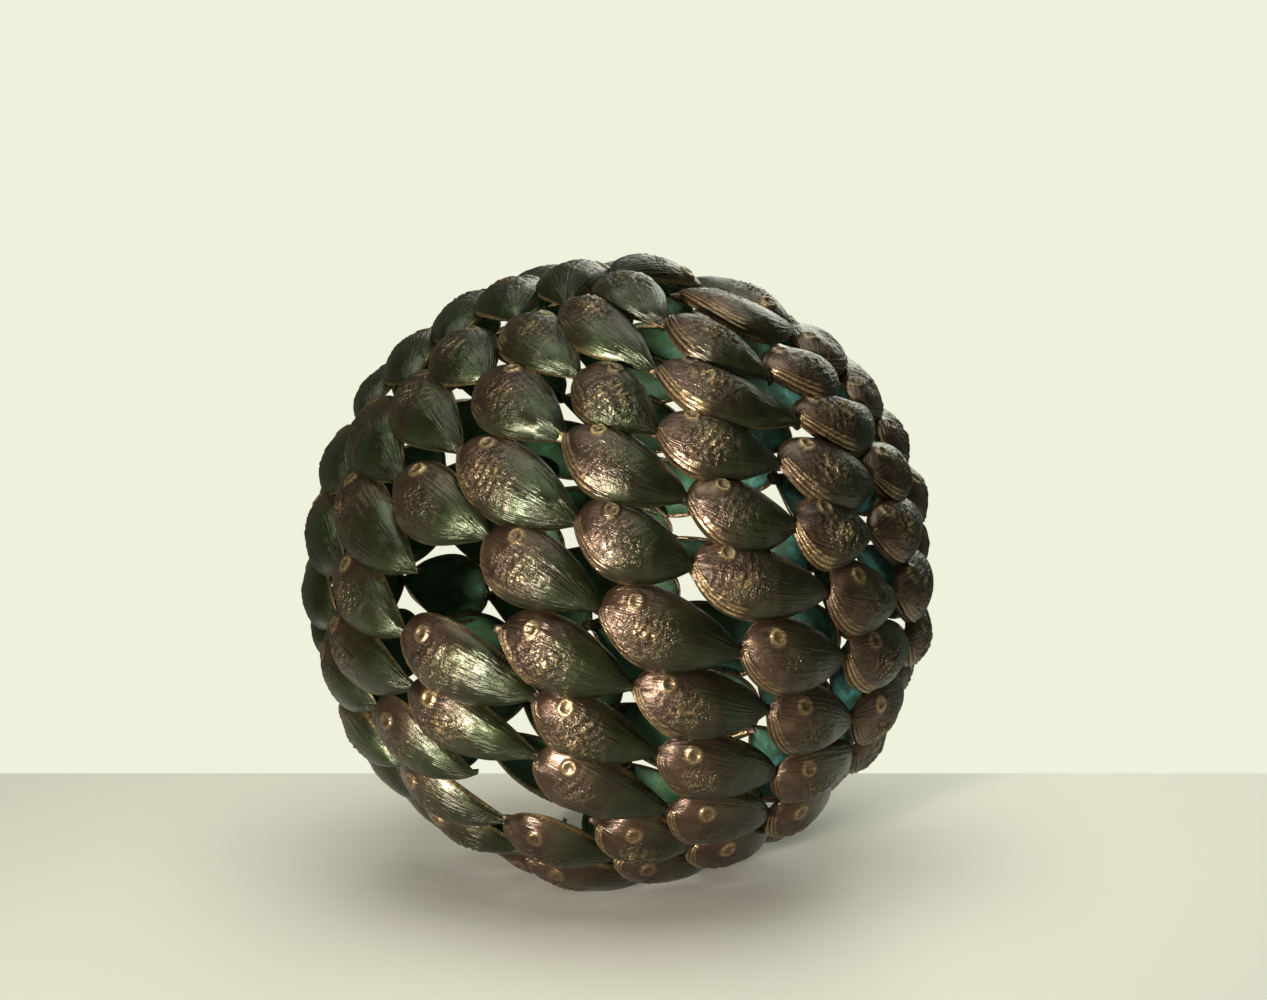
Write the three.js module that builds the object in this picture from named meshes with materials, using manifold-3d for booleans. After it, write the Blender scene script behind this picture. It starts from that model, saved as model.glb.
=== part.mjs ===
// Openwork desk ball of cast bronze shells, in millimetres, +Z up.
// The ball is hollow and has no frame inside. Rows of domed, fish-shaped shells run round it, each
// shell's pointed tail brazed to the blunt nose of the next one. The origin is on the table, under
// the middle of the ball.
// The shells of one row are built in short runs of up to three, each run one brazed body.

import * as THREE from 'three';
import { mergeVertices } from 'three/addons/utils/BufferGeometryUtils.js';
import Module from 'manifold-3d';

const wasm = await Module();
wasm.setup();

// Driving dimensions of the ball
const BALL_DIAMETER = 250; // across the crowns of the shells
const DOME_HEIGHT = 8; // crown of a shell above its rim
const WALL = 1.8; // cast wall of a shell
const RIM_RADIUS = BALL_DIAMETER / 2 - DOME_HEIGHT - WALL; // sphere that the rims lie on

// Lean of the row axis from upright: to the right as seen from the front, and towards the front
const LEAN_RIGHT = 22;
const LEAN_FORWARD = 10;

// Driving dimensions of a shell
const HALF_WIDTH = 17; // one side of a shell with nothing in its way
const LEAST_HALF_WIDTH = 7;
const NOSE_HALF_WIDTH = 4;
const TAIL_HALF_WIDTH = 1.3;
const NOSE_INSET = 0.7; // nose behind its joint with the tail before
const BRAZED_REACH = 2.6; // tail past the joint where it is brazed to the next nose
const FREE_REACH = -2.1; // tail short of the joint where a run ends
const BEND_SHARE = 0.6; // how far a shell bends from a straight line towards its row's circle
const UPPER_OUTLINE = { rise: 0.45, fall: 0.8 }; // forehead: widest near the nose
const LOWER_OUTLINE = { rise: 0.75, fall: 0.85 }; // belly: widest near the middle
const CROWN_PROFILE = 0.6; // exponent of the arch across a shell
const LENGTH_PROFILE = 0.8; // exponent of the arch along a shell

// Irregularity of handwork, in degrees
const LATITUDE_WOBBLE = 1.7;
const LONGITUDE_WOBBLE = 2.8;

// Room between neighbouring rows
const ROW_GAP = 0.4;
const TRIM_STEP = 0.98;
const TRIM_PASSES = 50;
const NEIGHBOUR_ANGLE = 32; // shells further apart than this can't touch
const TRIM_STATIONS = 12;

// Where the ball stands: the lowest shells are set in so that each is flat where it touches
const FLOOR_DEPTH = 120.4; // table below the ball's centre
const SETTLING = 1.2; // a crown this far above the table is set down onto it
const FLAT_DEPTH = 1.0; // height taken off a crown that touches the table

// Mesh of one shell: stations from nose to tail, and points across from rim to rim
const STATIONS = [0, 0.06, 0.2, 0.4, 0.65, 0.86, 1];
const ACROSS = [-1, -0.55, 0, 0.55, 1];

// Rows from the top of the leaning axis to its foot. Longitude 0 is on the left, 90 at the front.
const ROWS = [
  { latitude: 77, count: 1, runs: 1, first: 20 },
  { latitude: 68, count: 6, runs: 2, first: 50 },
  { latitude: 58, count: 7, runs: 3, first: 17 },
  { latitude: 47, count: 11, runs: 4, first: 46 },
  { latitude: 36, count: 13, runs: 5, first: 32 },
  { latitude: 24.5, count: 13, runs: 5, first: 40 },
  { latitude: 13, count: 14, runs: 5, first: 56 },
  { latitude: 1.5, count: 14, runs: 5, first: 67, open: 13 }, // an opening takes this shell's place
  { latitude: -10, count: 14, runs: 5, first: 75 },
  { latitude: -21.5, count: 13, runs: 5, first: 81 },
  { latitude: -33, count: 13, runs: 5, first: 14, open: 2 }, // and this one's
  { latitude: -44.5, count: 11, runs: 4, first: 113 },
  { latitude: -55.5, count: 8, runs: 4, first: 92 },
  { latitude: -66, count: 5, runs: 2, first: 78 },
  { latitude: -77, count: 1, runs: 1, first: 30 },
];
const SEEDS_PER_ROW = 40;

const rad = THREE.MathUtils.degToRad;
const leanForward = new THREE.Quaternion().setFromAxisAngle(new THREE.Vector3(1, 0, 0), rad(LEAN_FORWARD));
const leanRight = new THREE.Quaternion().setFromAxisAngle(new THREE.Vector3(0, 1, 0), rad(LEAN_RIGHT));
const halfTurn = new THREE.Quaternion().setFromAxisAngle(new THREE.Vector3(0, 0, 1), Math.PI);
const ROWS_TO_BALL = leanForward.multiply(leanRight).multiply(halfTurn);
const ROW_AXIS = new THREE.Vector3(0, 0, 1).applyQuaternion(ROWS_TO_BALL);

/** A repeatable number from -1 to 1 for each seed. */
function scatter(seed) {
  const wave = Math.sin(seed * 12.9898) * 43758.5453;
  return 2 * (wave - Math.floor(wave)) - 1;
}

/** Direction from the ball's centre towards a latitude and longitude of the rows. */
function towards(latitude, longitude) {
  const ring = Math.cos(rad(latitude));
  const x = ring * Math.cos(rad(longitude));
  const y = ring * Math.sin(rad(longitude));
  return new THREE.Vector3(x, y, Math.sin(rad(latitude))).applyQuaternion(ROWS_TO_BALL);
}

/** Height of a unit direction above the rows' equator, as an angle in radians. */
function latitudeOf(direction) {
  return Math.asin(direction.dot(ROW_AXIS));
}

/** One side of the outline: 0 at nose and tail, 1 where it is widest. */
function leaf(t, { rise, fall }) {
  const widest = rise / (rise + fall);
  const peak = widest ** rise * (1 - widest) ** fall;
  return (t ** rise * (1 - t) ** fall) / peak;
}

/** A shell between two joints of its row, with its own axes at its middle. */
function placeShell(nose, tail, brazedTail) {
  const outward = nose.clone().add(tail).normalize();
  const along = tail.clone().sub(nose).normalize();
  const across = outward.clone().cross(along);
  const halfLength = RIM_RADIUS * Math.tan(nose.angleTo(tail) / 2);
  const rowLatitude = (latitudeOf(nose) + latitudeOf(tail)) / 2;
  return {
    outward,
    along,
    across,
    start: -halfLength + NOSE_INSET,
    end: halfLength + (brazedTail ? BRAZED_REACH : FREE_REACH),
    bend: BEND_SHARE * RIM_RADIUS * (latitudeOf(outward) - rowLatitude),
    upper: HALF_WIDTH,
    lower: HALF_WIDTH,
    lift: 0,
  };
}

/** The shells of one row, each from its own joint to the next, sorted into runs. */
function placeRow(row, rowIndex) {
  const jointCount = Math.max(row.count, 2); // the single shell at each end of the axis has two
  const pitch = 360 / jointCount;
  const joints = [];
  for (let i = 0; i < jointCount; i += 1) {
    const seed = rowIndex * SEEDS_PER_ROW + 2 * i + 1;
    const latitude = row.latitude + LATITUDE_WOBBLE * scatter(seed);
    const longitude = row.first + pitch * i + LONGITUDE_WOBBLE * scatter(seed + 1);
    joints.push(towards(latitude, longitude));
  }
  const runs = Array.from({ length: row.runs }, () => []);
  const runOf = (i) => Math.floor((i * row.runs) / row.count);
  joints.slice(0, row.count).forEach((nose, i) => {
    if (i === row.open) return;
    const next = (i + 1) % jointCount;
    const brazedTail = next > 0 && next < row.count && runOf(next) === runOf(i) && next !== row.open;
    const shell = placeShell(nose, joints[next], brazedTail);
    shell.row = rowIndex;
    runs[runOf(i)].push(shell);
  });
  return runs;
}

/** Half-width of the outline on one side ('upper' or 'lower') at t from nose to tail. */
function halfWidthAt(shell, side, t) {
  const shape = side === 'upper' ? UPPER_OUTLINE : LOWER_OUTLINE;
  const blunt = NOSE_HALF_WIDTH * (1 - t) + TAIL_HALF_WIDTH * t;
  return Math.max(shell[side] * leaf(t, shape), blunt);
}

/** Middle line of a bent shell, across its straight axis. */
function middleAt(shell, t) {
  return -shell.bend * 4 * t * (1 - t);
}

/** Unit direction of a point in a shell's own plane. */
function directionOf(shell, u, v) {
  return shell.outward
    .clone()
    .addScaledVector(shell.along, u / RIM_RADIUS)
    .addScaledVector(shell.across, v / RIM_RADIUS)
    .normalize();
}

/** Point on a shell: t from nose to tail, s from the lower rim (-1) to the upper rim (1). */
function shellPoint(shell, t, s, inner) {
  const side = s > 0 ? 'upper' : 'lower';
  const halfWidth = halfWidthAt(shell, side, t);
  const inset = inner ? Math.min(WALL, halfWidth / 2) : 0;
  const tInset = inner ? 0.02 + 0.95 * t : t;
  const u = shell.start + (shell.end - shell.start) * tInset;
  const v = middleAt(shell, t) + s * (halfWidth - inset);
  const alongArch = ((leaf(t, UPPER_OUTLINE) + leaf(t, LOWER_OUTLINE)) / 2) ** LENGTH_PROFILE;
  const acrossArch = (1 - s * s) ** CROWN_PROFILE;
  const radius = RIM_RADIUS + (inner ? 0 : WALL) + DOME_HEIGHT * alongArch * acrossArch;
  const point = directionOf(shell, u, v).multiplyScalar(radius);
  point.z += shell.lift;
  return point;
}

/** The side of a shell that covers a direction, with the row gap round it, or null. */
function sideCovering(shell, direction) {
  const outwardPart = direction.dot(shell.outward);
  const u = (RIM_RADIUS * direction.dot(shell.along)) / outwardPart;
  const t = (u - shell.start) / (shell.end - shell.start);
  if (t <= 0 || t >= 1) return null;
  const v = (RIM_RADIUS * direction.dot(shell.across)) / outwardPart - middleAt(shell, t);
  const side = v > 0 ? 'upper' : 'lower';
  return Math.abs(v) < halfWidthAt(shell, side, t) + ROW_GAP ? side : null;
}

/** Adds both sides to the crowded list wherever the rim of one shell lies on another. */
function findCrowding(shell, other, crowded) {
  for (const side of ['upper', 'lower']) {
    const sign = side === 'upper' ? 1 : -1;
    for (let i = 0; i <= TRIM_STATIONS; i += 1) {
      const t = i / TRIM_STATIONS;
      const u = shell.start + (shell.end - shell.start) * t;
      const v = middleAt(shell, t) + sign * halfWidthAt(shell, side, t);
      const covered = sideCovering(other, directionOf(shell, u, v));
      if (covered) {
        crowded.get(shell).add(side);
        crowded.get(other).add(covered);
      }
    }
  }
}

/** Narrows crowded sides, a step at a time, until the rows lie beside each other. */
function trimToNeighbours(shells) {
  const reach = Math.cos(rad(NEIGHBOUR_ANGLE));
  const pairs = shells.flatMap((shell) => shells
    .filter((other) => other.row !== shell.row && other.outward.dot(shell.outward) > reach)
    .map((other) => [shell, other]));
  for (let pass = 0; pass < TRIM_PASSES; pass += 1) {
    const crowded = new Map(shells.map((shell) => [shell, new Set()]));
    for (const [shell, other] of pairs) findCrowding(shell, other, crowded);
    for (const [shell, sides] of crowded) {
      for (const side of sides) shell[side] = Math.max(shell[side] * TRIM_STEP, LEAST_HALF_WIDTH);
    }
  }
}

/** Moves a low shell up or down so that only a small flat of its crown is below the table. */
function setOnTable(shell) {
  let lowest = Infinity;
  for (const t of STATIONS) {
    for (const s of ACROSS) lowest = Math.min(lowest, shellPoint(shell, t, s, false).z);
  }
  if (lowest < SETTLING - FLOOR_DEPTH) shell.lift = -FLOOR_DEPTH - FLAT_DEPTH - lowest;
}

/** Closed mesh of one shell: an outer skin, an inner skin and the rim between them. */
function shellGeometry(shell) {
  const points = [];
  for (const inner of [false, true]) {
    for (const t of STATIONS) {
      for (const s of ACROSS) points.push(shellPoint(shell, t, s, inner));
    }
  }
  const columns = ACROSS.length;
  const rows = STATIONS.length;
  const innerStart = columns * rows;
  const triangles = [];
  const quad = (a, b, c, d) => triangles.push(a, b, c, a, c, d);
  for (let i = 0; i + 1 < rows; i += 1) {
    for (let j = 0; j + 1 < columns; j += 1) {
      const a = i * columns + j;
      quad(a, a + columns, a + columns + 1, a + 1);
      quad(innerStart + a, innerStart + a + 1, innerStart + a + columns + 1, innerStart + a + columns);
    }
  }
  const rim = [];
  for (let j = 0; j < columns; j += 1) rim.push(j);
  for (let i = 1; i < rows; i += 1) rim.push(i * columns + columns - 1);
  for (let j = columns - 2; j >= 0; j -= 1) rim.push((rows - 1) * columns + j);
  for (let i = rows - 2; i > 0; i -= 1) rim.push(i * columns);
  rim.forEach((a, k) => {
    const b = rim[(k + 1) % rim.length];
    quad(a, b, innerStart + b, innerStart + a);
  });
  const geometry = new THREE.BufferGeometry().setFromPoints(points);
  geometry.setIndex(triangles);
  return geometry;
}

/** A closed three.js geometry as a manifold solid. */
function toSolid(geometry) {
  const bare = geometry.clone();
  bare.deleteAttribute('normal');
  bare.deleteAttribute('uv');
  const merged = mergeVertices(bare, 1e-5);
  return new wasm.Manifold(new wasm.Mesh({
    numProp: 3,
    vertProperties: new Float32Array(merged.attributes.position.array),
    triVerts: new Uint32Array(merged.index.array),
  }));
}

/** A manifold solid as a three.js geometry. */
function toGeometry(solid) {
  const { vertProperties, triVerts } = solid.getMesh();
  const geometry = new THREE.BufferGeometry();
  geometry.setAttribute('position', new THREE.BufferAttribute(vertProperties, 3));
  geometry.setIndex(new THREE.BufferAttribute(triVerts, 1));
  geometry.computeVertexNormals();
  return geometry;
}

/** The space below the table top, which flattens the crowns that touch it. */
function belowTable() {
  const box = new THREE.BoxGeometry(BALL_DIAMETER, BALL_DIAMETER, DOME_HEIGHT);
  return toSolid(box.translate(0, 0, -FLOOR_DEPTH - DOME_HEIGHT / 2));
}

const bronze = new THREE.MeshStandardMaterial({ color: 0x3a2a1e, roughness: 0.35, metalness: 0.9 });

/** One named mesh for a run of shells brazed nose to tail. */
function runMesh(run, name, underTable) {
  let solid = run.map((shell) => toSolid(shellGeometry(shell))).reduce((sum, next) => sum.add(next));
  if (run.some((shell) => shell.lift !== 0)) solid = solid.subtract(underTable);
  const mesh = new THREE.Mesh(toGeometry(solid), bronze);
  mesh.name = name;
  mesh.position.z = FLOOR_DEPTH;
  return mesh;
}

function buildBall() {
  const rows = ROWS.map(placeRow);
  const shells = rows.flat(2);
  trimToNeighbours(shells);
  shells.forEach(setOnTable);
  const underTable = belowTable();
  const ball = new THREE.Group();
  rows.forEach((runs, rowIndex) => {
    const rowName = String(rowIndex + 1).padStart(2, '0');
    runs.forEach((run, i) => ball.add(runMesh(run, `shell_row_${rowName}_run_${i + 1}`, underTable)));
  });
  return ball;
}

export default buildBall();
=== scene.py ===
"""Openwork desk ball of cast bronze shells: the visual model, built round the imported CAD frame.

Rows of domed, fish-shaped shells run round a leaning axis. Each shell is its own casting: a thin wall
with a blunt nose, a ringed knob, lip ridges, a crinkled cheek, fine grooves and a drawn-out tail.
Lengths are in metres.
"""

import math

import bpy
import numpy as np
from mathutils import Matrix, Vector


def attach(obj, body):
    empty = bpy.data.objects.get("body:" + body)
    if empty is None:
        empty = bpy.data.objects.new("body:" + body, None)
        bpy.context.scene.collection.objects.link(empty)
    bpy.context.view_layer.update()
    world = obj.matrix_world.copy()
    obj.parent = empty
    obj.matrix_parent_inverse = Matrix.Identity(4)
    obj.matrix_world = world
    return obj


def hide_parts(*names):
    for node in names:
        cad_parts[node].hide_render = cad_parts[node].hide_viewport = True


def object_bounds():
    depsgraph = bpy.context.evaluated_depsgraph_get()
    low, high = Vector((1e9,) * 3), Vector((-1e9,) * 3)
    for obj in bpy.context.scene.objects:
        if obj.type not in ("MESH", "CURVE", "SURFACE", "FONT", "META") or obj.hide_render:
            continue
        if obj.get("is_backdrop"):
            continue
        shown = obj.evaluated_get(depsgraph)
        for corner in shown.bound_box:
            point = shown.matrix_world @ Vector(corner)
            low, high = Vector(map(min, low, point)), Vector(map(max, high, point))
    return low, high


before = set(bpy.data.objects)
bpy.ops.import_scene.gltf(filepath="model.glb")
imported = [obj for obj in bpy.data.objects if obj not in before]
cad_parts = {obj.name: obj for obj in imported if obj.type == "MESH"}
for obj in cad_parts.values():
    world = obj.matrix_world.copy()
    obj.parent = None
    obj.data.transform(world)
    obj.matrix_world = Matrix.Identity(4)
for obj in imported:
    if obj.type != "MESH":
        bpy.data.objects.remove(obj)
cad_low, cad_high = (Vector(corner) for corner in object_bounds())

# ---------------------------------------------------------------- driving dimensions

MM = 0.001
BALL_RADIUS = 0.125
DOME_HEIGHT = 8.0 * MM
WALL = 1.8 * MM
RIM_RADIUS = BALL_RADIUS - DOME_HEIGHT - WALL
CENTRE = Vector((0, 0, cad_high.z - (cad_high.x - cad_low.x) / 2))

FLOOR_DEPTH = CENTRE.z
SETTLING = 1.2 * MM  # a crown this near the table is set down onto it
FLAT_DEPTH = 1.0 * MM

# Lean of the row axis from upright, as seen from the front
LEAN_RIGHT = math.radians(22)
LEAN_FORWARD = math.radians(10)

HALF_WIDTH = 17 * MM  # one side of a shell with nothing in its way
LEAST_HALF_WIDTH = 7 * MM
BEND_SHARE = 0.6  # how far a shell bends from a straight line towards its row's circle
LATITUDE_WOBBLE = 1.7  # scatter of the joints, in degrees
LONGITUDE_WOBBLE = 2.8

# Outline of a shell: how fast each side widens from the nose and narrows to the tail
UPPER_OUTLINE = (0.45, 0.80)
LOWER_OUTLINE = (0.75, 0.85)
NOSE_HALF_WIDTH = 4 * MM
TAIL_HALF_WIDTH = 1.3 * MM
DRAWN_NOSE = 0.8 * MM  # the CAD's square-cut ends are drawn out to these half-widths here
DRAWN_TAIL = 0.8 * MM
BELLY_OUTLINE = (0.75, 1.05)  # the casting's own outlines, with a slimmer tail than the CAD's
FOREHEAD_OUTLINE = (0.42, 0.85)
BELLY_OVERLAP = 4.2 * MM  # how far the cast rims run onto their neighbours' rims
FOREHEAD_OVERLAP = 2.6 * MM
WIDEST_DRAWN = 15.0 * MM
SCALE_TILT = 1.3 * MM  # each belly stands over the forehead of the row below, like a fish's scales
NOSE_INSET = 0.7 * MM
TAIL_REACH = 1.0 * MM
HOOK_REACH = 1.8 * MM  # the thin end of the tail goes on past the CAD's
LOOSE_HOOK_REACH = 6.5 * MM  # and further where it ends in an opening
CROWN_PROFILE = 0.6  # exponents of the arch across a shell and along it
LENGTH_PROFILE = 0.8

ROW_GAP = 0.4 * MM
TRIM_STEP = 0.98
TRIM_PASSES = 50
TRIM_STATIONS = 12
NEIGHBOUR_ANGLE = math.radians(32)

# Rows from the top of the leaning axis to its foot: latitude, number of shells, first longitude
ROWS = [
    (77, 1, 20), (68, 6, 50), (58, 7, 17), (47, 11, 46), (36, 13, 32),
    (24.5, 13, 40), (13, 14, 56), (1.5, 14, 67), (-10, 14, 75), (-21.5, 13, 81),
    (-33, 13, 14), (-44.5, 11, 113), (-55.5, 8, 92), (-66, 5, 78), (-77, 1, 30),
]
OPENINGS = {(7, 13), (10, 2)}  # row and number of each shell whose place is open
SEEDS_PER_ROW = 40
RUNS = [1, 2, 3, 4, 5, 5, 5, 5, 5, 5, 5, 4, 4, 2, 1]  # nodes of the CAD in each row

# Mesh and patterns of one casting
NOSE_TO_TAIL_CELLS = 84
ACROSS_CELLS = 48
NOSE_CROWDING = 1.45  # the cells are shorter towards the nose, where the detail is
INNER_STRIDE = 3  # the inner skin has one cell to this many of the outer skin's
CASTING_SEEDS = 1000
FLANK_WIDTH = 13.0  # millimetres that the grooves spread over, drawn together at the tail
PATTERN_STEP = 37.0  # sets each shell's procedural patterns apart from the next one's

# Details of one casting, from its nose and its middle line
KNOB_FROM_NOSE = 11.5 * MM
KNOB_UP = 0.52  # share of the way from the middle line to the upper rim
KNOB_RING = 2.3 * MM
KNOB_REACH = 3.2 * MM
LIP_PITCH = 1.5 * MM
LIP_BAND = 5.6 * MM  # width of the lips from the lower rim, with a soft inner end
LIP_BAND_FULL = 4.0 * MM
LIP_END = 0.44  # share of the shell's length that the lips run back from the nose
LIP_FULL = 0.30
CHEEK_FROM_NOSE = 19 * MM
CHEEK_DOWN = 2.0 * MM
CHEEK_REACH = 7.5 * MM
CHEEK_STRETCH = 1.25
FOLD_LENGTH = 3.2 * MM
GILL_FROM_NOSE = 29 * MM
GILL_SLANT = 0.35
UNEVEN_LENGTH = 14 * MM

KNOB_HEIGHT = 0.9 * MM
LIP_HEIGHT = 0.8 * MM
FOLD_HEIGHT = 1.5 * MM
GILL_HEIGHT = 0.3 * MM
UNEVEN_HEIGHT = 0.3 * MM

# Beads of braze
BEAD_RINGS = 8
BEAD_SIDES = 12
BEAD_SEEDS = 500

# Table and camera
CAMERA_DISTANCE = 1.30
CAMERA_ELEVATION = math.radians(11)
TABLE_BEHIND = 0.145  # back edge of the table, behind the middle of the ball
TABLE_HALF_SIDE = 4.0
SENSOR_WIDTH = 36  # of the camera, in its own millimetres
BALL_ACROSS = 0.4988  # share of the picture's width that the ball fills
BALL_LEFT_OF_MIDDLE = 0.0114  # ball's centre off the picture's middle, in picture widths
BALL_BELOW_MIDDLE = 0.0560

ROWS_TO_BALL = (
    Matrix.Rotation(LEAN_FORWARD, 3, "X")
    @ Matrix.Rotation(LEAN_RIGHT, 3, "Y")
    @ Matrix.Rotation(math.pi, 3, "Z")
)
ROW_AXIS = ROWS_TO_BALL @ Vector((0, 0, 1))


# ---------------------------------------------------------------- layout of the shells

def scatter(seed):
    """A repeatable number from -1 to 1 for each seed."""
    wave = math.sin(seed * 12.9898) * 43758.5453
    return 2 * (wave - math.floor(wave)) - 1


def towards(latitude, longitude):
    """Direction from the ball's centre to a latitude and longitude of the rows, in degrees."""
    lat, lon = math.radians(latitude), math.radians(longitude)
    ring = math.cos(lat)
    return ROWS_TO_BALL @ Vector((ring * math.cos(lon), ring * math.sin(lon), math.sin(lat)))


def latitude_of(direction):
    return math.asin(max(-1, min(1, direction.dot(ROW_AXIS))))


def leaf(t, outline):
    """One side of the outline: 0 at nose and tail, 1 where it is widest."""
    rise, fall = outline
    widest = rise / (rise + fall)
    peak = widest ** rise * (1 - widest) ** fall
    return t ** rise * (1 - t) ** fall / peak


class Shell:
    """One casting between two joints of its row, with its own axes at its middle."""

    def __init__(self, row, number, run, nose, tail):
        self.row, self.number, self.run = row, number, run
        self.outward = (nose + tail).normalized()
        self.along = (tail - nose).normalized()
        self.across = self.outward.cross(self.along)
        half_length = RIM_RADIUS * math.tan(nose.angle(tail) / 2)
        row_latitude = (latitude_of(nose) + latitude_of(tail)) / 2
        self.start = -half_length + NOSE_INSET
        self.end = half_length + TAIL_REACH
        self.bend = BEND_SHARE * RIM_RADIUS * (latitude_of(self.outward) - row_latitude)
        self.width = np.array([HALF_WIDTH, HALF_WIDTH])  # lower side, upper side
        following = (number + 1) % max(ROWS[row][1], 2)
        self.hook = LOOSE_HOOK_REACH if (row, following) in OPENINGS else HOOK_REACH
        self.lift = 0.0


def place_shells():
    shells = []
    for row, (latitude, count, first) in enumerate(ROWS):
        joint_count = max(count, 2)
        joints = []
        for i in range(joint_count):
            seed = row * SEEDS_PER_ROW + 2 * i + 1
            joints.append(towards(
                latitude + LATITUDE_WOBBLE * scatter(seed),
                first + 360 / joint_count * i + LONGITUDE_WOBBLE * scatter(seed + 1),
            ))
        for i in range(count):
            if (row, i) in OPENINGS:
                continue
            run = i * RUNS[row] // count
            shells.append(Shell(row, i, run, joints[i], joints[(i + 1) % joint_count]))
    return shells


def half_width(t, width, outline):
    blunt = NOSE_HALF_WIDTH * (1 - t) + TAIL_HALF_WIDTH * t
    return np.maximum(width * leaf(t, outline), blunt)


def drawn_half_width(t, width, outline):
    """Half-width of the casting's own outline, which is rounder at the nose and thinner at the tail."""
    return np.maximum(width * leaf(t, outline), DRAWN_NOSE * (1 - t) + DRAWN_TAIL * t)


def trim_to_neighbours(shells):
    """Narrows crowded sides, a step at a time, until the rows lie beside each other."""
    reach = math.cos(NEIGHBOUR_ANGLE)
    pairs = [
        (i, j) for i, a in enumerate(shells) for j, b in enumerate(shells)
        if a.row != b.row and a.outward.dot(b.outward) > reach
    ]
    first, second = np.array(pairs).T
    frames = np.array([[s.outward, s.along, s.across] for s in shells])
    start = np.array([s.start for s in shells])[:, None]
    end = np.array([s.end for s in shells])[:, None]
    bend = np.array([s.bend for s in shells])[:, None]
    width = np.array([s.width for s in shells])
    t = np.linspace(0, 1, TRIM_STATIONS + 1)[None, :]
    for _ in range(TRIM_PASSES):
        crowded = np.zeros_like(width, bool)
        for side, sign, outline in ((0, -1, LOWER_OUTLINE), (1, 1, UPPER_OUTLINE)):
            u = start + (end - start) * t
            v = -bend * 4 * t * (1 - t) + sign * half_width(t, width[:, side:side + 1], outline)
            points = (frames[:, 0, None] + frames[:, 1, None] * (u / RIM_RADIUS)[..., None]
                      + frames[:, 2, None] * (v / RIM_RADIUS)[..., None])
            there = np.einsum("pkc,pac->pka", points[first], frames[second])
            there_u = RIM_RADIUS * there[..., 1] / there[..., 0]
            there_t = (there_u - start[second]) / (end - start)[second]
            inside = (there_t > 0) & (there_t < 1)
            clipped = np.clip(there_t, 0, 1)
            there_bend = bend[second] * 4 * clipped * (1 - clipped)
            there_v = RIM_RADIUS * there[..., 2] / there[..., 0] + there_bend
            upper = half_width(clipped, width[second, 1:2], UPPER_OUTLINE)
            lower = half_width(clipped, width[second, 0:1], LOWER_OUTLINE)
            room = np.where(there_v > 0, upper, lower) + ROW_GAP
            hit = inside & (np.abs(there_v) < room)
            crowded[first[hit.any(axis=1)], side] = True
            crowded[second[(hit & (there_v > 0)).any(axis=1)], 1] = True
            crowded[second[(hit & (there_v <= 0)).any(axis=1)], 0] = True
        width = np.where(crowded, np.maximum(width * TRIM_STEP, LEAST_HALF_WIDTH), width)
    for shell, sides in zip(shells, width):
        shell.width = sides


shells = place_shells()
trim_to_neighbours(shells)


# ---------------------------------------------------------------- one casting

def smooth(low, high, value):
    """0 below low, 1 above high, and a soft step between them."""
    x = np.clip((value - low) / (high - low), 0, 1)
    return x * x * (3 - 2 * x)


def bell(distance, radius):
    """1 at no distance, and falling softly to 0 beyond the radius."""
    return np.exp(-(distance / radius) ** 2)


def wrinkles(x, y, rng, wavelength, waves=4):
    """Sharp-crested folds that cross in several directions, from 0 to 1."""
    highest = np.zeros_like(x)
    for _ in range(waves):
        angle = rng.uniform(0, math.pi)
        length = wavelength * rng.uniform(0.75, 1.5)
        sideways = (x * math.sin(angle) - y * math.cos(angle)) / length
        warp = rng.uniform(0.6, 1.3) * np.sin(sideways * 1.9 + rng.uniform(0, 6))
        turns = (x * math.cos(angle) + y * math.sin(angle)) / length
        phase = turns * math.pi + warp + rng.uniform(0, 6)
        broken = 0.65 + 0.35 * np.sin(sideways * 2.7 + rng.uniform(0, 6))
        highest = np.maximum(highest, (1 - np.abs(np.sin(phase))) ** 1.5 * broken)
    return highest


def swell(x, y, rng, wavelength, waves=4):
    """Low rolling unevenness, from about -1 to 1."""
    total = np.zeros_like(x)
    for _ in range(waves):
        angle = rng.uniform(0, 2 * math.pi)
        length = wavelength * rng.uniform(0.8, 1.6)
        turns = (x * math.cos(angle) + y * math.sin(angle)) / length
        total += np.sin(turns * 2 * math.pi + rng.uniform(0, 6))
    return total / waves


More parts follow.
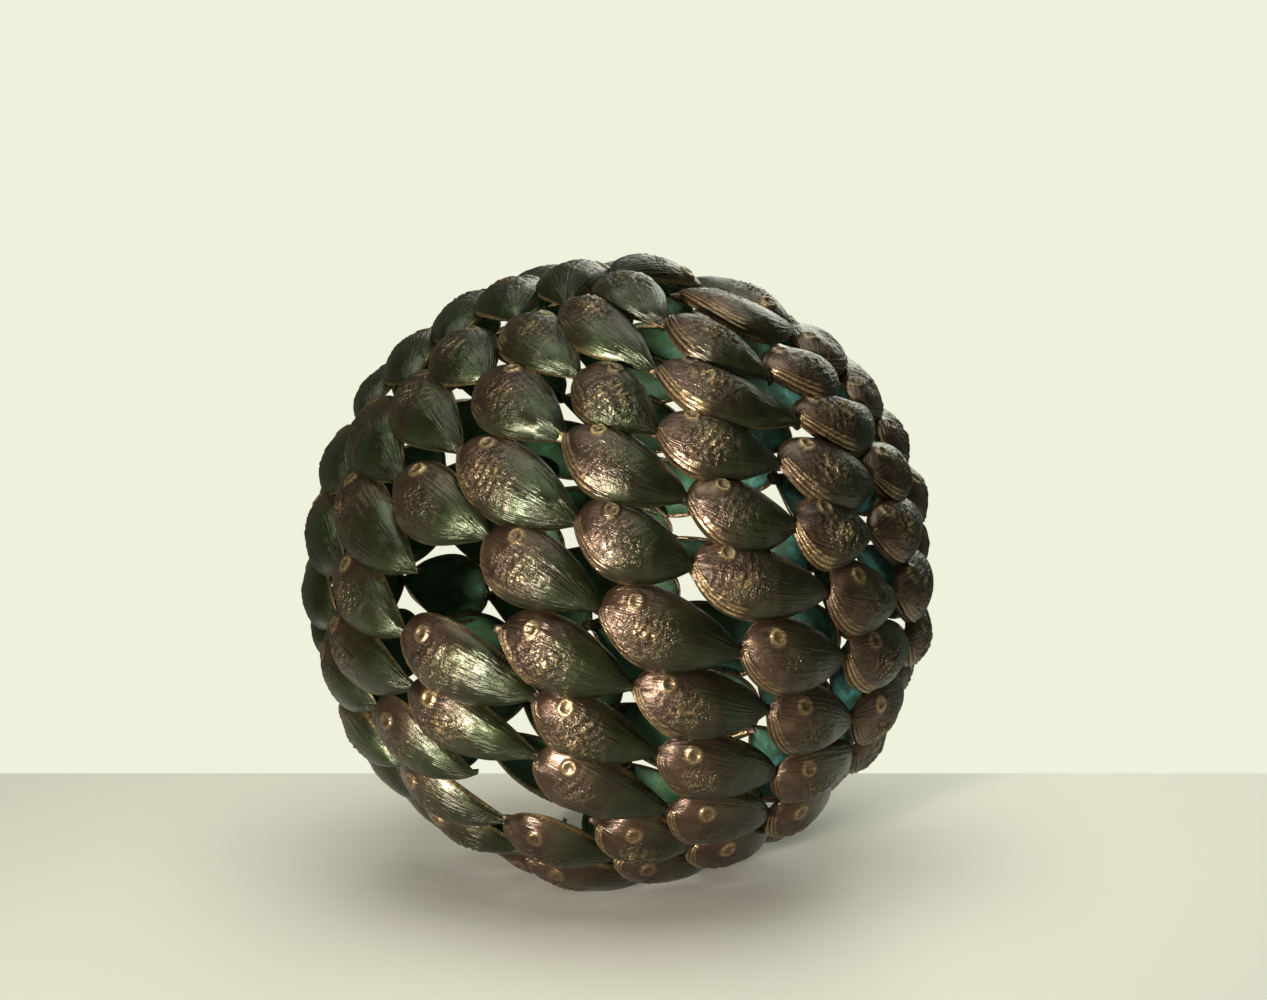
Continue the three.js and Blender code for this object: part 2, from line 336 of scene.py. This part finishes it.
class Skin:
    """The outer skin of a shell as a grid of points, with its height details, its worn places and its
    painted highlights.
    """

    def __init__(self, shell):
        rng = np.random.default_rng(CASTING_SEEDS + shell.row * SEEDS_PER_ROW + shell.number)
        tau = np.linspace(0, 1, NOSE_TO_TAIL_CELLS + 1)[:, None]
        sigma = np.linspace(-1, 1, ACROSS_CELLS + 1)[None, :]
        self.t = t = tau ** NOSE_CROWDING + 0 * sigma
        self.s = s = np.sin(sigma * math.pi / 2) * (1 + 0 * tau)
        belly = [exponent * rng.uniform(0.82, 1.22) for exponent in BELLY_OUTLINE]
        forehead = [exponent * rng.uniform(0.85, 1.22) for exponent in FOREHEAD_OUTLINE]
        below = shell.width[0] + BELLY_OVERLAP * rng.uniform(0.55, 1.1)
        above = shell.width[1] + FOREHEAD_OVERLAP * rng.uniform(0.4, 1.1)
        lower = drawn_half_width(t, min(below, WIDEST_DRAWN), belly)
        upper = drawn_half_width(t, min(above, WIDEST_DRAWN), forehead)
        side = np.where(s > 0, upper, lower)
        length = shell.end - shell.start + shell.hook
        self.u = u = shell.start + length * t
        self.v = v = -shell.bend * 4 * t * (1 - t) + s * side
        along_arch = ((leaf(t, UPPER_OUTLINE) + leaf(t, LOWER_OUTLINE)) / 2) ** LENGTH_PROFILE
        across_arch = np.clip(1 - s * s, 0, 1) ** CROWN_PROFILE
        tilt = SCALE_TILT * (0.3 - s) * np.sin(np.pi * np.clip(t, 0, 1)) * rng.uniform(0.6, 1.2)
        radius = RIM_RADIUS + WALL + DOME_HEIGHT * along_arch * across_arch + tilt
        axes = np.array([shell.outward, shell.along, shell.across])
        lengthwise = axes[1] * (u / RIM_RADIUS)[..., None]
        crosswise = axes[2] * (v / RIM_RADIUS)[..., None]
        direction = axes[0] + lengthwise + crosswise
        direction /= np.linalg.norm(direction, axis=-1, keepdims=True)
        self.base = direction * radius[..., None]
        lowest = self.base[..., 2].min()
        if lowest < SETTLING - FLOOR_DEPTH:
            shell.lift = -FLOOR_DEPTH - FLAT_DEPTH - lowest
            self.base[..., 2] += shell.lift
        self.normal = self.find_normals(self.base)
        height, self.wear, self.crinkle = self.details(shell, rng, lower, upper)
        edge = smooth(0, 0.05, 1 - np.abs(s)) * smooth(0, 0.02, t) * smooth(0, 0.03, 1 - t)
        self.points = self.base + self.normal * (height * edge)[..., None]
        self.points[..., 2] = np.maximum(self.points[..., 2], -FLOOR_DEPTH)

    @staticmethod
    def find_normals(points):
        lengthwise = np.gradient(points, axis=0)
        crosswise = np.gradient(points, axis=1)
        normal = np.cross(lengthwise, crosswise)
        return normal / np.maximum(np.linalg.norm(normal, axis=-1, keepdims=True), 1e-12)

    def details(self, shell, rng, lower, upper):
        """Height above the plain dome, how far each point is worn bright, with painted highlights on
        the rim edges and in the knob pits, and how far it is crinkled.
        """
        t, s = self.t, self.s
        x = self.u - shell.start
        y = self.v
        knob_y = np.interp(KNOB_FROM_NOSE, x[:, 0], upper[:, 0]) * KNOB_UP
        from_knob = np.hypot(x - KNOB_FROM_NOSE, y - knob_y)
        ring = bell(from_knob - KNOB_RING, 0.75 * MM)
        pit = bell(from_knob, 0.9 * MM)
        knob = (0.75 * ring + 0.35 * bell(from_knob, KNOB_REACH) - 0.25 * pit) * rng.uniform(0.8, 1.2)

        from_rim = (1 + s) * lower
        lip_reach = smooth(LIP_END, LIP_FULL, t) * smooth(LIP_BAND, LIP_BAND_FULL, from_rim) * (s < 0.3)
        ridges = 0.5 + 0.5 * np.cos(from_rim * 2 * math.pi / LIP_PITCH + 0.6)
        lips = lip_reach * ridges * rng.uniform(0.7, 1.1)

        cheek = bell(np.hypot((x - CHEEK_FROM_NOSE) / CHEEK_STRETCH, y + CHEEK_DOWN), CHEEK_REACH)
        cheek = cheek * smooth(2.5 * MM, 4.5 * MM, from_knob)
        crinkle = cheek * rng.uniform(0.4, 1.2)
        folds = wrinkles(x, y, rng, FOLD_LENGTH) * crinkle
        gill = bell(x - GILL_FROM_NOSE - GILL_SLANT * np.abs(y) + rng.uniform(-1, 1) * MM, 0.9 * MM)
        gill = gill * smooth(0.75, 0.3, np.abs(s + 0.2)) * rng.uniform(0.1, 0.7)
        uneven = swell(x, y, rng, UNEVEN_LENGTH)
        height = (
            KNOB_HEIGHT * knob + LIP_HEIGHT * lips + FOLD_HEIGHT * folds
            + GILL_HEIGHT * gill + UNEVEN_HEIGHT * uneven
        )
        wear = (
            # The ring is worn to gold; the gold in the pit is a painted highlight, the bright core of
            # each knob.
            (ring + pit * 0.6) * rng.uniform(0.3, 1.0)
            + 0.9 * lips * smooth(0.3, 1, lips)
            + folds * smooth(0.2, 0.9, folds)
            + 0.12 * gill
            # Painted highlight: a light line along the rim edges, where they catch the light.
            + 0.45 * smooth(0.93, 1.0, np.abs(s))
        )
        return height, np.clip(wear, 0, 1), crinkle


def grid_faces(rows, columns, first, flipped):
    """Four-sided faces of a grid of points, wound the other way round when flipped."""
    faces = []
    for i in range(rows - 1):
        for j in range(columns - 1):
            a = first + i * columns + j
            corners = (a, a + columns, a + columns + 1, a + 1)
            faces.append((a,) + corners[:0:-1] if flipped else corners)
    return faces


def edge_loop(rows, columns, first):
    """Vertex numbers round the edge of a grid, in the order that the rim's faces take."""
    loop = [first + j for j in range(columns)]
    loop += [first + i * columns + columns - 1 for i in range(1, rows)]
    loop += [first + (rows - 1) * columns + j for j in range(columns - 2, -1, -1)]
    loop += [first + i * columns for i in range(rows - 2, 0, -1)]
    return loop


def rim_faces(fine, coarse):
    """Faces between the outer skin's edge and the coarser edge of the inner skin."""
    faces = []
    for k, corner in enumerate(coarse):
        following = coarse[(k + 1) % len(coarse)]
        span = [fine[(k * INNER_STRIDE + n) % len(fine)] for n in range(INNER_STRIDE + 1)]
        faces.append(tuple(span) + (following, corner))
    return faces


def store(mesh, name, values):
    """Keeps one number, or three, for each vertex under a name that the materials read."""
    if values.ndim == 1:
        mesh.attributes.new(name, "FLOAT", "POINT").data.foreach_set("value", values)
    else:
        mesh.attributes.new(name, "FLOAT_VECTOR", "POINT").data.foreach_set("vector", values.ravel())


def outer_only(values, count):
    """One number for each vertex, and 0 on the inner skin."""
    everywhere = np.zeros(count, np.float32)
    everywhere[:values.size] = values.ravel()
    return everywhere


def shell_mesh(shell, name):
    """Closed mesh of one casting: outer skin, inner skin and the rim that joins them."""
    skin = Skin(shell)
    rows, columns = skin.t.shape
    centre = np.array(CENTRE)
    outer = skin.points + centre
    pick = np.ix_(np.arange(0, rows, INNER_STRIDE), np.arange(0, columns, INNER_STRIDE))
    inner = skin.base[pick] - skin.normal[pick] * WALL + centre
    inner[..., 2] = np.maximum(inner[..., 2], WALL / 2)
    inner_rows, inner_columns = inner.shape[:2]
    first_inner = rows * columns
    outer_faces = grid_faces(rows, columns, 0, False)
    inner_faces = grid_faces(inner_rows, inner_columns, first_inner, True)
    rim = rim_faces(edge_loop(rows, columns, 0), edge_loop(inner_rows, inner_columns, first_inner))
    faces = outer_faces + inner_faces + rim
    vertices = np.concatenate([outer.reshape(-1, 3), inner.reshape(-1, 3)])
    mesh = bpy.data.meshes.new(name)
    mesh.from_pydata(vertices.tolist(), [], faces)
    material_index = np.zeros(len(faces), np.int32)
    material_index[len(outer_faces):len(outer_faces) + len(inner_faces)] = 1
    mesh.polygons.foreach_set("material_index", material_index)
    mesh.polygons.foreach_set("use_smooth", np.ones(len(faces), bool))

    place = np.zeros((len(vertices), 3), np.float32)
    place[:, 0] = np.concatenate([skin.u.ravel(), skin.u[pick].ravel()]) / MM
    place[:, 1] = np.concatenate([skin.v.ravel(), skin.v[pick].ravel()]) / MM
    place[:, 2] = PATTERN_STEP * (shell.row * SEEDS_PER_ROW + shell.number)
    store(mesh, "shell_place", place)
    flank = place.copy()
    flank[:first_inner, 1] = FLANK_WIDTH * skin.s.ravel()
    store(mesh, "flank_place", flank)
    store(mesh, "wear", outer_only(skin.wear, len(vertices)))
    store(mesh, "crinkle", outer_only(skin.crinkle, len(vertices)))
    store(mesh, "towards_tail", outer_only(skin.t, len(vertices)))
    return mesh


# ---------------------------------------------------------------- materials

def new_material(name):
    material = bpy.data.materials.new(name)
    material.use_nodes = True
    nodes = material.node_tree.nodes
    nodes.clear()
    output = nodes.new("ShaderNodeOutputMaterial")
    shader = nodes.new("ShaderNodeBsdfPrincipled")
    material.node_tree.links.new(shader.outputs["BSDF"], output.inputs["Surface"])
    return material, material.node_tree, shader


def attribute(tree, name):
    node = tree.nodes.new("ShaderNodeAttribute")
    node.attribute_name = name
    return node


def noise(tree, vector, scale, detail=4.0, roughness=0.55, stretch=(1, 1, 1)):
    mapping = tree.nodes.new("ShaderNodeMapping")
    mapping.inputs["Scale"].default_value = stretch
    tree.links.new(vector, mapping.inputs["Vector"])
    node = tree.nodes.new("ShaderNodeTexNoise")
    node.inputs["Scale"].default_value = scale
    node.inputs["Detail"].default_value = detail
    node.inputs["Roughness"].default_value = roughness
    tree.links.new(mapping.outputs["Vector"], node.inputs["Vector"])
    return node.outputs["Fac"]


def ramp(tree, value, *stops):
    node = tree.nodes.new("ShaderNodeValToRGB")
    elements = node.color_ramp.elements
    while len(elements) < len(stops):
        elements.new(0.5)
    for element, (position, colour) in zip(elements, stops):
        element.position = position
        element.color = (*colour, 1) if len(colour) == 3 else colour
    tree.links.new(value, node.inputs["Fac"])
    return node.outputs["Color"]


def grey_ramp(tree, value, low, high, start=0.0, end=1.0):
    node = tree.nodes.new("ShaderNodeMapRange")
    node.inputs["From Min"].default_value = low
    node.inputs["From Max"].default_value = high
    node.inputs["To Min"].default_value = start
    node.inputs["To Max"].default_value = end
    tree.links.new(value, node.inputs["Value"])
    return node.outputs["Result"]


def math_node(tree, operation, a, b):
    node = tree.nodes.new("ShaderNodeMath")
    node.operation = operation
    for socket, value in zip(node.inputs, (a, b)):
        if isinstance(value, (int, float)):
            socket.default_value = value
        else:
            tree.links.new(value, socket)
    return node.outputs["Value"]


def mix_colour(tree, factor, a, b):
    node = tree.nodes.new("ShaderNodeMix")
    node.data_type = "RGBA"
    tree.links.new(factor, node.inputs["Factor"])
    for socket, value in ((node.inputs["A"], a), (node.inputs["B"], b)):
        if isinstance(value, tuple):
            socket.default_value = (*value, 1)
        else:
            tree.links.new(value, socket)
    return node.outputs["Result"]


def bump(tree, height, strength, distance, normal=None):
    node = tree.nodes.new("ShaderNodeBump")
    node.inputs["Strength"].default_value = strength
    node.inputs["Distance"].default_value = distance
    tree.links.new(height, node.inputs["Height"])
    if normal is not None:
        tree.links.new(normal, node.inputs["Normal"])
    return node.outputs["Normal"]


def patinated_bronze():
    """Waxed, patinated dark brown bronze, worn to gold on the high points; painted shade makes it
    darker and greener towards each tail, and a painted highlight runs along the rim edges and in the
    knob pits.
    """
    material, tree, shader = new_material("patinated_bronze")
    place = attribute(tree, "shell_place").outputs["Vector"]
    wear = attribute(tree, "wear").outputs["Fac"]
    back = attribute(tree, "towards_tail").outputs["Fac"]
    crinkle = attribute(tree, "crinkle").outputs["Fac"]
    clouds = noise(tree, place, 0.09, 5)
    grain = noise(tree, place, 1.4, 5, 0.65)
    foil = noise(tree, place, 0.42, 3, 0.6)
    creases = math_node(tree, "ABSOLUTE", math_node(tree, "SUBTRACT", foil, 0.5), 0.0)
    creases = math_node(tree, "MULTIPLY", math_node(tree, "MINIMUM", creases, 0.06), crinkle)
    flank = attribute(tree, "flank_place").outputs["Vector"]
    streaks = noise(tree, flank, 1.0, 3, 0.6, stretch=(0.06, 0.75, 1))
    grooved_patches = grey_ramp(tree, noise(tree, place, 0.13, 2), 0.38, 0.60, 0.1, 1.0)
    streaks = math_node(tree, "MULTIPLY", math_node(tree, "SUBTRACT", streaks, 0.5), grooved_patches)
    brown = ramp(tree, clouds, (0.30, (0.022, 0.012, 0.006)), (0.55, (0.060, 0.033, 0.019)),
                 (0.75, (0.115, 0.070, 0.044)))
    # Painted shade: the colour turns darker and greener towards each tail, the greenish dark of the
    # shaded side laid over the brown.
    shaded_olive = ramp(tree, clouds, (0.30, (0.008, 0.011, 0.003)), (0.70, (0.024, 0.032, 0.009)))
    towards_tail = math_node(tree, "ADD", grey_ramp(tree, back, 0.15, 0.65, -0.10, 1.0),
                             grey_ramp(tree, clouds, 0.35, 0.65, -0.25, 0.25))
    patina_and_painted_shade = mix_colour(tree, towards_tail, brown, shaded_olive)
    # Worn high points turn to gold, and so do the painted highlights on the rim edges and in the knob
    # pits.
    gold_wear_and_highlight = math_node(tree, "MULTIPLY", wear, grey_ramp(tree, grain, 0.35, 0.6, 0.35, 1.0))
    gold = ramp(tree, grain, (0.3, (0.22, 0.14, 0.055)), (0.7, (0.50, 0.36, 0.17)))
    tree.links.new(mix_colour(tree, gold_wear_and_highlight, patina_and_painted_shade, gold), shader.inputs["Base Color"])
    rough = grey_ramp(tree, grain, 0.3, 0.7, 0.27, 0.40)
    tree.links.new(rough, shader.inputs["Roughness"])
    shader.inputs["Metallic"].default_value = 0.82
    shader.inputs["Coat Weight"].default_value = 0.28
    shader.inputs["Coat Roughness"].default_value = 0.20
    fine = bump(tree, grain, 0.22, 0.0004)
    grooved = bump(tree, streaks, 0.7, 0.0016, fine)
    normal = bump(tree, creases, 1.0, 0.0050, grooved)
    tree.links.new(normal, shader.inputs["Normal"])
    tree.links.new(normal, shader.inputs["Coat Normal"])
    return material


def verdigris_and_painted_light():
    """Dull green corrosion over brown on the inner face; brighter teal on the right of the ball is
    painted light, where the key light reaches the inner faces through the openings.
    """
    material, tree, shader = new_material("verdigris_and_painted_light")
    place = attribute(tree, "shell_place").outputs["Vector"]
    clouds = noise(tree, place, 0.16, 6, 0.6)
    green = ramp(tree, clouds, (0.30, (0.026, 0.044, 0.016)), (0.50, (0.032, 0.085, 0.032)),
                 (0.72, (0.046, 0.140, 0.060)))
    lit_teal = ramp(tree, clouds, (0.30, (0.010, 0.024, 0.014)), (0.50, (0.018, 0.070, 0.054)),
                (0.66, (0.050, 0.180, 0.160)), (0.78, (0.190, 0.430, 0.400)))
    position = tree.nodes.new("ShaderNodeTexCoord").outputs["Object"]
    sideways = tree.nodes.new("ShaderNodeSeparateXYZ")
    tree.links.new(position, sideways.inputs["Vector"])
    # Painted light: the inner faces turn a brighter teal towards the right of the ball, where the key
    # light falls on them through the openings, and stay a darker green on the shaded left.
    lit_on_right = math_node(tree, "ADD", grey_ramp(tree, sideways.outputs["X"], 0.0, 0.09, -0.2, 1.0),
                      grey_ramp(tree, clouds, 0.35, 0.65, -0.3, 0.3))
    tree.links.new(mix_colour(tree, lit_on_right, green, lit_teal), shader.inputs["Base Color"])
    shader.inputs["Metallic"].default_value = 0.15
    shader.inputs["Roughness"].default_value = 0.62
    tree.links.new(bump(tree, noise(tree, place, 0.9, 5, 0.65), 0.5, 0.0006), shader.inputs["Normal"])
    return material


def braze_metal():
    """Filed braze: the same dark brown, duller and more worn than the castings."""
    material, tree, shader = new_material("braze_metal")
    place = tree.nodes.new("ShaderNodeTexCoord").outputs["Object"]
    clouds = noise(tree, place, 220, 4, 0.6)
    colour = ramp(tree, clouds, (0.35, (0.020, 0.014, 0.009)), (0.55, (0.070, 0.045, 0.026)),
                  (0.72, (0.260, 0.180, 0.090)))
    tree.links.new(colour, shader.inputs["Base Color"])
    tree.links.new(grey_ramp(tree, clouds, 0.3, 0.7, 0.55, 0.35), shader.inputs["Roughness"])
    shader.inputs["Metallic"].default_value = 0.8
    tree.links.new(bump(tree, noise(tree, place, 900, 4, 0.6), 0.5, 0.0004), shader.inputs["Normal"])
    return material


# ---------------------------------------------------------------- assembly

def node_name(shell):
    return f"shell_row_{shell.row + 1:02d}_run_{shell.run + 1}"


def build_shells():
    outer, inner = patinated_bronze(), verdigris_and_painted_light()
    for shell in shells:
        name = f"shell_{shell.row + 1:02d}_{shell.number + 1:02d}"
        piece = bpy.data.objects.new(name, shell_mesh(shell, name))
        bpy.context.collection.objects.link(piece)
        piece.data.materials.append(outer)
        piece.data.materials.append(inner)
        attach(piece, "root")
        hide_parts(node_name(shell))


def add_bead(shell, rng, vertices, faces):
    """A lumpy bead of braze at the nose of a shell, drawn out along its row."""
    nose = shell.outward + shell.along * (shell.start / RIM_RADIUS)
    radius = RIM_RADIUS + rng.uniform(1.2, 2.6) * MM
    centre = nose.normalized() * radius + CENTRE + Vector((0, 0, shell.lift))
    sides = (
        shell.along * rng.uniform(2.4, 4.0) * MM,
        shell.across * rng.uniform(1.6, 2.6) * MM,
        shell.outward * rng.uniform(1.2, 1.9) * MM,
    )
    phase = rng.uniform(0, 6, 3)
    first = len(vertices)
    for i in range(BEAD_RINGS + 1):
        polar = math.pi * i / BEAD_RINGS
        for j in range(BEAD_SIDES):
            turn = 2 * math.pi * j / BEAD_SIDES
            lump = 1 + 0.16 * math.sin(3 * turn + phase[0]) * math.sin(polar)
            lump += 0.10 * math.sin(5 * polar + phase[1])
            parts = (
                math.cos(polar),
                math.sin(polar) * math.cos(turn),
                math.sin(polar) * math.sin(turn),
            )
            offset = sum((side * lump * part for side, part in zip(sides, parts)), Vector())
            vertices.append(centre + offset)
    for i in range(BEAD_RINGS):
        for j in range(BEAD_SIDES):
            a = first + i * BEAD_SIDES + j
            b = first + i * BEAD_SIDES + (j + 1) % BEAD_SIDES
            faces.append((a, a + BEAD_SIDES, b + BEAD_SIDES, b))


def braze_mesh(name, joints, rng):
    """The beads of braze of one row, one at each joint."""
    vertices, faces = [], []
    for shell in joints:
        add_bead(shell, rng, vertices, faces)
    mesh = bpy.data.meshes.new(name)
    mesh.from_pydata(vertices, [], faces)
    mesh.polygons.foreach_set("use_smooth", np.ones(len(faces), bool))
    return mesh


def build_braze():
    material = braze_metal()
    for row in range(len(ROWS)):
        name = f"braze_row_{row + 1:02d}"
        joints = [shell for shell in shells if shell.row == row]
        rng = np.random.default_rng(BEAD_SEEDS + row)
        piece = bpy.data.objects.new(name, braze_mesh(name, joints, rng))
        bpy.context.collection.objects.link(piece)
        piece.data.materials.append(material)
        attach(piece, "root")


# ---------------------------------------------------------------- stage, light and camera

def add_floor():
    mesh = bpy.data.meshes.new("floor")
    side = TABLE_HALF_SIDE
    corners = [(-side, -side, 0), (side, -side, 0), (side, TABLE_BEHIND, 0), (-side, TABLE_BEHIND, 0)]
    mesh.from_pydata(corners, [], [(0, 1, 2, 3)])
    floor = bpy.data.objects.new("floor", mesh)
    bpy.context.collection.objects.link(floor)
    material, _, shader = new_material("pale_table")
    shader.inputs["Base Color"].default_value = (0.66, 0.64, 0.565, 1)
    shader.inputs["Roughness"].default_value = 0.6
    mesh.materials.append(material)
    floor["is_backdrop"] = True


def aim(lamp, place):
    lamp.location = place
    lamp.rotation_euler = (CENTRE - Vector(place)).to_track_quat("-Z", "Y").to_euler()
    lamp.visible_camera = False
    bpy.context.collection.objects.link(lamp)


def add_area_light(name, place, size, power, colour):
    data = bpy.data.lights.new(name, "AREA")
    data.size = size
    data.energy = power
    data.color = colour
    aim(bpy.data.objects.new(name, data), place)


def add_key_light(place, power, colour):
    data = bpy.data.lights.new("key", "SPOT")
    data.spot_size = math.radians(34)
    data.spot_blend = 1.0
    data.shadow_soft_size = 0.075
    data.energy = power
    data.color = colour
    aim(bpy.data.objects.new("key", data), place)


def add_light():
    world = bpy.data.worlds.new("studio")
    world.use_nodes = True
    tree = world.node_tree
    lighting = tree.nodes["Background"]
    lighting.inputs["Color"].default_value = (0.74, 0.86, 0.60, 1)
    lighting.inputs["Strength"].default_value = 0.13
    backdrop = tree.nodes.new("ShaderNodeBackground")
    backdrop.inputs["Color"].default_value = (0.86, 0.88, 0.71, 1)
    backdrop.inputs["Strength"].default_value = 1.0
    seen = tree.nodes.new("ShaderNodeLightPath")
    mix = tree.nodes.new("ShaderNodeMixShader")
    tree.links.new(seen.outputs["Is Camera Ray"], mix.inputs["Fac"])
    tree.links.new(lighting.outputs["Background"], mix.inputs[1])
    tree.links.new(backdrop.outputs["Background"], mix.inputs[2])
    tree.links.new(mix.outputs["Shader"], tree.nodes["World Output"].inputs["Surface"])
    bpy.context.scene.world = world
    add_key_light((-0.74, -1.41, 0.16), 310, (1.0, 0.94, 0.86))
    add_area_light("overhead", (0.0, -0.2, 2.0), 1.8, 33, (0.97, 1.0, 0.92))
    add_area_light("behind", (0.5, 1.6, 0.9), 1.0, 9, (0.97, 1.0, 0.86))


def add_camera():
    data = bpy.data.cameras.new("camera")
    camera = bpy.data.objects.new("camera", data)
    bpy.context.collection.objects.link(camera)
    back = Vector((0, -math.cos(CAMERA_ELEVATION), math.sin(CAMERA_ELEVATION)))
    camera.location = CENTRE + back * CAMERA_DISTANCE
    apparent = 2 * math.tan(math.asin(BALL_RADIUS / CAMERA_DISTANCE))
    data.sensor_width = SENSOR_WIDTH
    data.lens = SENSOR_WIDTH * BALL_ACROSS / apparent
    camera.rotation_euler = (CENTRE - camera.location).to_track_quat("-Z", "Y").to_euler()
    data.shift_x = BALL_LEFT_OF_MIDDLE
    data.shift_y = BALL_BELOW_MIDDLE
    bpy.context.scene.camera = camera


add_camera()
add_light()
add_floor()
build_shells()
build_braze()
bpy.context.scene.view_settings.view_transform = "Standard"
